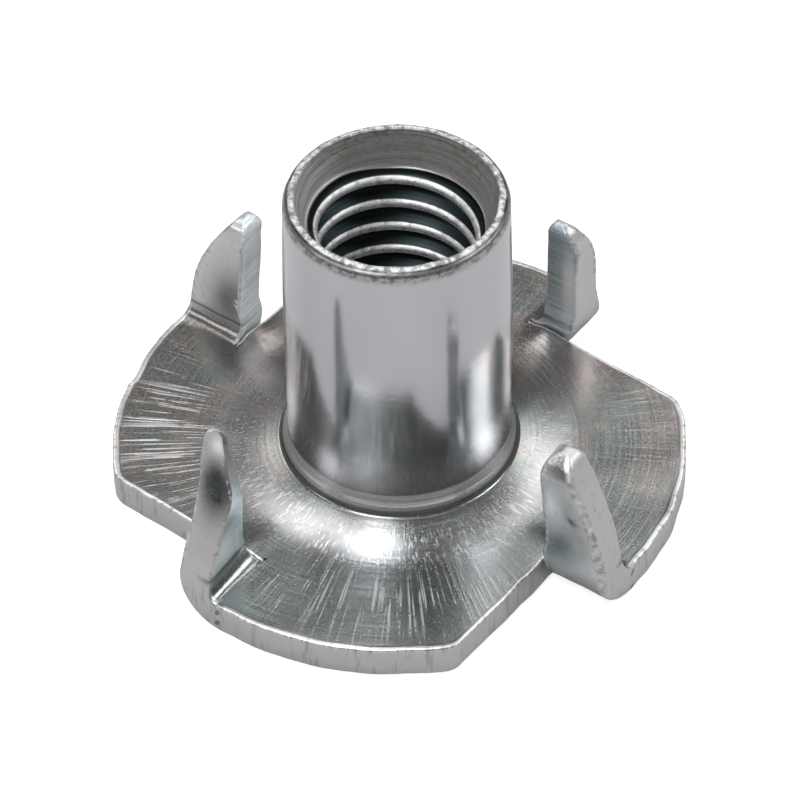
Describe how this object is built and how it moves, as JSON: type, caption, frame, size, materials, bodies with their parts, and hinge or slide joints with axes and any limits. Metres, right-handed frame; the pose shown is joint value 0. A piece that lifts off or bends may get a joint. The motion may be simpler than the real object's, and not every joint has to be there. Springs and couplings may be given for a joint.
{
  "type": "insert nut",
  "caption": "Threaded barrel drawn up from a round lobed flange whose slit tabs are bent up as prongs that bite into wood.",
  "frame": {"origin": "on the thread's axis, in the plane of the flange's flat underside", "axes": "+Z along the thread's axis from the flange towards the lip of the barrel; -Y is the side nearest the camera"},
  "size_m": [0.019, 0.019, 0.012],
  "materials": {
    "zinc_plate": "bright zinc plate, mirror-like on the barrel and dull with radial strokes on the flange"
  },
  "bodies": {
    "root": {"tee_nut": "zinc_plate"}
  },
  "joints": []
}
